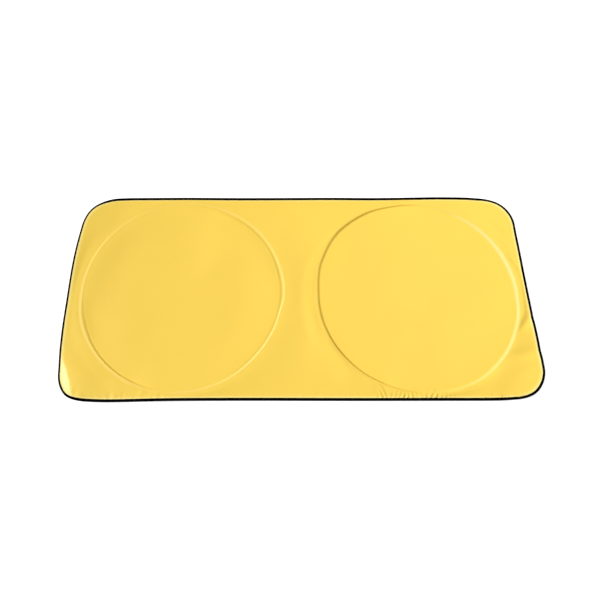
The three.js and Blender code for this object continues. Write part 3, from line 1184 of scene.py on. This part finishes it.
def cloth_material(name, colour, roughness):
    """Satin polyester with a gold coating: a fine plain weave under a soft, uneven sheen, smoother
    where it is pulled tight, with highlights painted paler by the tape, on the curled corner and
    along the channels, and shade painted deeper in the channels' folds and between the gathers."""
    cloth = Nodes(name)
    place, across, along = cloth.flat_place("Cut")
    clouds = cloth.noise(place, scale=5.5, detail=3)
    body = cloth.mix(clouds, tinted(colour, 0.975), tinted(colour, 1.02))
    # Painted highlights by the tape, on the curl and along the channels; painted shade in the channels'
    # folds and the gathers' troughs
    tight_and_highlight = cloth.attribute("tight_and_highlight")
    highlight_and_shade = cloth.attribute("painted_shading")
    painted_shade = cloth.math("MULTIPLY", highlight_and_shade, -1)
    for share, tint in ((tight_and_highlight, TAPE_AND_CURL_HIGHLIGHT_TINT), (highlight_and_shade, CHANNEL_HIGHLIGHT_TINT), (painted_shade, PAINTED_SHADE_TINT)):
        body = cloth.toward(share, body, shifted(colour, tint))
    cloth.link(body, cloth.shader.inputs["Base Color"])
    blotches = cloth.noise(place, scale=38, detail=4)
    patches = cloth.span(blotches, roughness - 0.05, roughness + 0.05)
    smoother = cloth.math("SUBTRACT", patches, cloth.math("MULTIPLY", tight_and_highlight, TIGHT_SHINE))
    cloth.link(smoother, cloth.shader.inputs["Roughness"])
    pitch = settings().cloth.weave
    weave = cloth.math("MULTIPLY", cloth.wave(across, 2 * pitch), cloth.wave(along, 2 * pitch))
    slubs = cloth.noise(cloth.stretched(place, (40, 900, 1)), scale=1)
    cloth.bump(cloth.math("ADD", weave, slubs), strength=0.22, distance=0.04 * MM)
    cloth.set(Specular_IOR_Level=0.4, IOR=1.5)
    return cloth.material


def tape_material():
    """Black woven tape: fine ribs both ways, and threads that differ a little in shade."""
    tape = Nodes("binding_tape")
    place, along, across = tape.flat_place("Tape")
    colour = settings().tape.colour
    threads = tape.noise(tape.stretched(place, (700, 1500, 1)), scale=1)
    shade = tape.mix(threads, tinted(colour, 0.6), tinted(colour, 1.6))
    tape.link(shade, tape.shader.inputs["Base Color"])
    rib = tape.math("MULTIPLY", tape.wave(along, pitch=0.9 * MM), 0.6)
    cross = tape.math("MULTIPLY", tape.wave(across, pitch=0.7 * MM), 0.4)
    tape.bump(tape.math("ADD", rib, cross), strength=0.35, distance=0.08 * MM)
    tape.set(Roughness=0.9, Specular_IOR_Level=0.0)
    return tape.material


def thread_material(name, colour):
    """Twisted thread: slanted plies, with shade painted in the grooves between them."""
    thread = Nodes(name)
    _, along, round_it = thread.flat_place("UVMap")
    slanted = thread.math("ADD", along, round_it)
    plies = thread.wave(slanted, pitch=0.34)
    share = thread.span(thread.math("MULTIPLY_ADD", plies, 0.5, 0.5), 0, 1)
    # Painted shade: darker where the plies dip, lighter on their crests
    shade = thread.mix(share, tinted(colour, 0.75), tinted(colour, 1.08))
    thread.link(shade, thread.shader.inputs["Base Color"])
    thread.bump(plies, strength=0.4, distance=0.03 * MM)
    thread.set(Roughness=0.5, Specular_IOR_Level=0.35)
    return thread.material


def steel_material():
    """Rolled and blued spring steel: fine lines along the band and patches of temper colour."""
    steel = Nodes("spring_steel")
    place = steel.object_place()
    colour = settings().metal.steel
    temper = steel.noise(place, scale=9, detail=3)
    blued = shifted(colour, (0.72, 0.82, 1.12))
    steel.link(steel.mix(temper, blued, tinted(colour, 1.1)), steel.shader.inputs["Base Color"])
    lines = steel.noise(steel.stretched(place, (20, 20, 6000)), scale=1, detail=3)
    steel.link(steel.span(lines, 0.24, 0.44), steel.shader.inputs["Roughness"])
    steel.bump(lines, strength=0.15, distance=0.02 * MM)
    steel.set(Metallic=1.0)
    return steel.material


def zinc_material():
    """Zinc plating: small bright spangles with a slightly rough surface."""
    zinc = Nodes("sleeve_zinc")
    place = zinc.object_place()
    colour = settings().metal.zinc
    cells = zinc.node("ShaderNodeTexVoronoi")
    cells.inputs["Scale"].default_value = 900
    zinc.link(place, cells.inputs["Vector"])
    grey = zinc.node("ShaderNodeRGBToBW")
    zinc.link(cells.outputs["Color"], grey.inputs[0])
    shade = zinc.mix(grey.outputs[0], tinted(colour, 0.85), tinted(colour, 1.15))
    zinc.link(shade, zinc.shader.inputs["Base Color"])
    grain = zinc.noise(place, scale=2500)
    zinc.link(zinc.span(grain, 0.3, 0.5), zinc.shader.inputs["Roughness"])
    zinc.bump(grain, strength=0.2, distance=0.02 * MM)
    zinc.set(Metallic=1.0)
    return zinc.material


def finish_piece(piece, material, node=None):
    """Gives a piece its material and slot, and its place on the body."""
    piece.data.materials.clear()
    piece.data.materials.append(material)
    if node:
        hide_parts(node)
    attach(piece, BODY)


def model_stitch():
    """One stitch: a short grain of thread, sunk at both ends. Gives its points, faces and map."""
    thread = settings().stitch.thread
    length = settings().stitch.pitch * STITCH_SHARE
    bpy.ops.object.select_all(action="DESELECT")
    bpy.ops.mesh.primitive_uv_sphere_add(
        segments=6, ring_count=5, radius=0.5, rotation=(0, math.pi / 2, 0)
    )
    grain = bpy.context.object
    bpy.ops.object.transform_apply(location=False, rotation=True, scale=False)
    grain.scale = (length, thread, thread)
    bpy.ops.object.transform_apply(location=False, rotation=False, scale=True)
    points = np.array([v.co for v in grain.data.vertices])
    points[:, 2] += thread * (STITCH_RISE - STITCH_SINK * (2 * points[:, 0] / length) ** 2)
    faces = [list(p.vertices) for p in grain.data.polygons]
    layer = grain.data.uv_layers.active
    corners = np.array([tuple(item.uv) for item in layer.data])
    bpy.data.objects.remove(grain)
    return points, faces, corners


def stitch_rows(name, rows, above):
    """Copies of the stitch along rows of (places, levels), on the upper or the lower side."""
    grain, faces, corners = model_stitch()
    points, all_faces = [], []
    start = 0
    for places, levels in rows:
        here = np.column_stack([places, levels])
        ahead = np.roll(here, -1, axis=0) - np.roll(here, 1, axis=0)
        ahead = ahead / np.linalg.norm(ahead, axis=1)[:, None]
        beside = np.column_stack([-ahead[:, 1], ahead[:, 0], np.zeros(len(here))])
        up = np.cross(ahead, beside) * (1 if above else -1)
        copies = here[:, None] + grain[None, :, :1] * ahead[:, None]
        copies = copies + grain[None, :, 1:2] * beside[:, None] + grain[None, :, 2:] * up[:, None]
        points.append(copies.reshape(-1, 3))
        for _ in here:
            all_faces.extend([start + corner for corner in face] for face in faces)
            start += len(grain)
    piece = new_piece(name, np.concatenate(points), all_faces)
    layer = piece.data.uv_layers.new(name="UVMap")
    count = len(piece.data.loops) // len(corners)
    layer.data.foreach_set("uv", np.tile(corners, (count, 1)).astype(np.float32).ravel())
    tidy_faces(piece)
    return piece


def hoop_rows(level, lift):
    """The four rows of stitches that close the channels, on one side of the shade."""
    rows = []
    for side in (LEFT, RIGHT):
        for offset in (-SEAM_OFFSET, SEAM_OFFSET):
            radius = HOOP_RADIUS + offset
            count = round(2 * math.pi * radius / settings().stitch.pitch)
            turns = np.arange(count) * 2 * math.pi / count
            x, y = side * HOOP_CENTRE + radius * np.cos(turns), radius * np.sin(turns)
            rows.append((np.stack([x, y], -1), level(x, y) + lift))
    return rows


class SUNSHADE_OT_front_cloth(bpy.types.Operator):
    """Lays the gold front cloth over the hoops"""

    bl_idname = "sunshade.front_cloth"
    bl_label = "Front Cloth"

    def execute(self, context):
        piece = make_sheet("front_cloth_laid", front_level)
        material = cloth_material("gold_cloth", settings().cloth.colour, GOLD_ROUGHNESS)
        finish_piece(piece, material, "front_cloth")
        return {"FINISHED"}


class SUNSHADE_OT_back_cloth(bpy.types.Operator):
    """Lays the back cloth under the hoops"""

    bl_idname = "sunshade.back_cloth"
    bl_label = "Back Cloth"

    def execute(self, context):
        piece = make_sheet("back_cloth_laid", back_level)
        colour = settings().cloth.lining_colour
        material = cloth_material("lining_cloth", colour, LINING_ROUGHNESS)
        finish_piece(piece, material, "back_cloth")
        return {"FINISHED"}


class SUNSHADE_OT_edge_binding(bpy.types.Operator):
    """Folds the black tape over the cut edges"""

    bl_idname = "sunshade.edge_binding"
    bl_label = "Edge Binding"

    def execute(self, context):
        tape = settings().tape
        around = whole_edge(outline(DASH_STEP, TAPE_STEP))
        section = tape_section(tape.width, tape.thickness)
        along = np.cumsum(edge_steps(around))
        sheet = SheetMesh()
        numbers, heights = [], []
        reach = np.concatenate([[0], np.cumsum(np.linalg.norm(np.diff(section, axis=0), axis=1))])
        for (out, up), across in zip(section, reach):
            places, level = beside_edge(around, out)
            heights.append(level + up)
            flat = np.column_stack([along, np.full(len(along), across)])
            numbers.append(sheet.add(flat, places))
        for a, b in zip(numbers, numbers[1:] + numbers[:1]):
            sheet.ring(b, a)
        points = np.column_stack([np.concatenate(sheet.laid), np.concatenate(heights)])
        piece = new_piece("edge_binding_folded", points, sheet.faces)
        write_map(piece, "Tape", np.concatenate(sheet.flat))
        tidy_faces(piece)
        finish_piece(piece, tape_material(), "edge_binding")
        return {"FINISHED"}


class SUNSHADE_OT_hoop_stitches(bpy.types.Operator):
    """Sews the gold rows along both sides of the hoops, on both faces"""

    bl_idname = "sunshade.hoop_stitches"
    bl_label = "Hoop Stitches"

    def execute(self, context):
        thickness = settings().cloth.thickness
        material = thread_material("gold_thread", settings().stitch.gold_thread)
        front = stitch_rows("hoop_stitches_front", hoop_rows(front_level, thickness), above=True)
        finish_piece(front, material)
        back = stitch_rows("hoop_stitches_back", hoop_rows(back_level, 0), above=False)
        finish_piece(back, material)
        return {"FINISHED"}


class SUNSHADE_OT_tape_stitches(bpy.types.Operator):
    """Sews the black rows along the tape, on both faces"""

    bl_idname = "sunshade.tape_stitches"
    bl_label = "Tape Stitches"

    def execute(self, context):
        tape = settings().tape
        edge = whole_edge(outline(DASH_STEP, TAPE_STEP))
        around = even_steps(edge, settings().stitch.pitch)
        places, level = beside_edge(around, TAPE_ROW - tape.width)
        height = settings().cloth.thickness + LAYER_GAP + tape.thickness - STITCH_BITE
        material = thread_material("black_thread", settings().stitch.black_thread)
        upper = stitch_rows("tape_stitches_upper", [(places, level + height)], above=True)
        finish_piece(upper, material)
        lower = stitch_rows("tape_stitches_lower", [(places, level - height)], above=False)
        finish_piece(lower, material)
        return {"FINISHED"}


class SUNSHADE_OT_metal_finish(bpy.types.Operator):
    """Gives the hoops and their sleeves their steel and zinc"""

    bl_idname = "sunshade.metal_finish"
    bl_label = "Metal Finish"

    def execute(self, context):
        steel, zinc = steel_material(), zinc_material()
        for side in ("left", "right"):
            for name, material in ((f"{side}_spring_hoop", steel), (f"{side}_crimp_sleeve", zinc)):
                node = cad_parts.get(name)
                if node is None:
                    raise RuntimeError(f"the frame has no node named {name}")
                node.data.materials.clear()
                node.data.materials.append(material)
        return {"FINISHED"}


class SUNSHADE_OT_stage(bpy.types.Operator):
    """Sets the floor, the backdrop, the soft lights and the camera"""

    bl_idname = "sunshade.stage"
    bl_label = "Stage"

    def execute(self, context):
        lay_floor()
        hang_backdrop()
        set_world()
        add_key_light()
        stage = settings().stage
        add_softbox(
            "overhead_softbox", place=(1.1, 0.6, 2.0), aim=(0.4, 0, 0), size=2.2, power=stage.overhead
        )
        add_softbox(
            "fill_softbox", place=(-1.0, -1.1, 1.0), aim=(-0.55, -0.3, 0), size=0.8, power=stage.fill
        )
        add_camera()
        return {"FINISHED"}


class SUNSHADE_PT_panel(bpy.types.Panel):
    """The steps of the shade, and their settings"""

    bl_idname = "SUNSHADE_PT_panel"
    bl_label = "Windscreen Sunshade"
    bl_space_type = "VIEW_3D"
    bl_region_type = "UI"
    bl_category = "Sunshade"

    def draw(self, context):
        layout = self.layout
        for step in STEPS:
            layout.operator(step.bl_idname)
        for group in ("cloth", "tape", "stitch", "metal", "stage"):
            values = getattr(context.scene.sunshade, group)
            box = layout.box()
            box.label(text=group.title())
            for name in values.bl_rna.properties.keys():
                if name not in ("rna_type", "name"):
                    box.prop(values, name)


def lay_floor():
    """A white floor that shows the shadow."""
    stage = settings().stage
    bpy.ops.mesh.primitive_plane_add(size=2 * STUDIO_REACH, location=(0, 0, -FLOOR_GAP))
    floor = bpy.context.object
    floor.name = "floor"
    white = Nodes("white_floor")
    white.set(Base_Color=(*stage.floor_colour, 1), Roughness=0.9)
    glow = white.node("ShaderNodeEmission")
    strength = white.math("MULTIPLY", white.background_rays(), stage.floor_glow)
    white.link(strength, glow.inputs["Strength"])
    total = white.node("ShaderNodeAddShader")
    white.link(white.shader.outputs[0], total.inputs[0])
    white.link(glow.outputs[0], total.inputs[1])
    white.link(total.outputs[0], white.tree.nodes["Material Output"].inputs["Surface"])
    floor.data.materials.append(white.material)


def hang_backdrop():
    """A white curtain round the floor, which adds no light: low views see it."""
    bpy.ops.mesh.primitive_cylinder_add(
        vertices=64,
        radius=CURTAIN_RADIUS,
        depth=CURTAIN_HEIGHT,
        end_fill_type="NOTHING",
        location=(0, 0, CURTAIN_HEIGHT / 2),
    )
    curtain = bpy.context.object
    curtain.name = "backdrop"
    white = Nodes("white_backdrop")
    glow = white.node("ShaderNodeEmission")
    white.link(white.background_rays(), glow.inputs["Strength"])
    white.link(glow.outputs[0], white.tree.nodes["Material Output"].inputs["Surface"])
    curtain.data.materials.append(white.material)
    curtain.visible_diffuse = False
    curtain.visible_shadow = False


def set_world():
    """Even pale light from all round."""
    world = bpy.data.worlds.new("studio")
    bpy.context.scene.world = world
    world.use_nodes = True
    sky = world.node_tree.nodes["Background"]
    sky.inputs["Color"].default_value = (1, 1, 1, 1)
    sky.inputs["Strength"].default_value = settings().stage.sky


def add_lamp(name, light, place, aim):
    """Hangs a light at a place, facing a point."""
    lamp = bpy.data.objects.new(name, light)
    bpy.context.scene.collection.objects.link(lamp)
    lamp.location = place
    lamp.rotation_euler = (Vector(aim) - Vector(place)).to_track_quat("-Z", "Y").to_euler()
    return lamp


def add_key_light():
    """The soft main light: far off to the left, a little towards the roof edge, and low."""
    light = bpy.data.lights.new("key", "SUN")
    light.angle = math.radians(KEY_SPREAD)
    light.energy = settings().stage.key
    add_lamp("key", light, KEY_PLACE, (0, 0, 0))


def add_softbox(name, place, aim, size, power):
    """A square soft light that faces a point."""
    light = bpy.data.lights.new(name, "AREA")
    light.shape = "SQUARE"
    light.size = size
    light.energy = power
    add_lamp(name, light, place, aim).visible_glossy = False


def add_camera():
    """Looks from the photograph's viewpoint."""
    azimuth, elevation, roll = (math.radians(turn) for turn in CAMERA_TURNS)
    data = bpy.data.cameras.new("camera")
    data.sensor_width = CAMERA_SENSOR
    data.lens = CAMERA_LENS
    camera = bpy.data.objects.new("camera", data)
    bpy.context.scene.collection.objects.link(camera)
    turn = (
        Matrix.Rotation(azimuth, 4, "Z")
        @ Matrix.Rotation(math.pi / 2 - elevation, 4, "X")
        @ Matrix.Rotation(roll, 4, "Z")
    )
    place = Vector(CAMERA_TARGET) + turn.to_3x3() @ Vector((0, 0, CAMERA_DISTANCE))
    camera.matrix_world = Matrix.Translation(place) @ turn
    bpy.context.scene.camera = camera


STEPS = (
    SUNSHADE_OT_stage,
    SUNSHADE_OT_metal_finish,
    SUNSHADE_OT_front_cloth,
    SUNSHADE_OT_back_cloth,
    SUNSHADE_OT_edge_binding,
    SUNSHADE_OT_hoop_stitches,
    SUNSHADE_OT_tape_stitches,
)
GROUPS = (
    ClothSettings,
    TapeSettings,
    StitchSettings,
    MetalSettings,
    StageSettings,
    SunshadeSettings,
)
CLASSES = (*GROUPS, *STEPS, SUNSHADE_PT_panel)


def register():
    """Adds the settings, the operators and the panel."""
    for cls in CLASSES:
        bpy.utils.register_class(cls)
    bpy.types.Scene.sunshade = PointerProperty(type=SunshadeSettings)


def unregister():
    """Takes them away."""
    del bpy.types.Scene.sunshade
    for cls in reversed(CLASSES):
        bpy.utils.unregister_class(cls)


def declare_sheets():
    """Works out the length of the cut edge round the sheets, which nothing uses."""
    length = edge_steps(whole_edge(outline(DASH_STEP, EDGE_STEP))).sum()


def main():
    """Makes the shade and its stage."""
    register()
    bpy.context.scene.view_settings.view_transform = "Standard"
    bpy.ops.sunshade.stage()
    bpy.ops.sunshade.metal_finish()
    bpy.ops.sunshade.front_cloth()
    bpy.ops.sunshade.back_cloth()
    bpy.ops.sunshade.edge_binding()
    bpy.ops.sunshade.hoop_stitches()
    bpy.ops.sunshade.tape_stitches()
    declare_sheets()


if __name__ == "__main__":
    main()
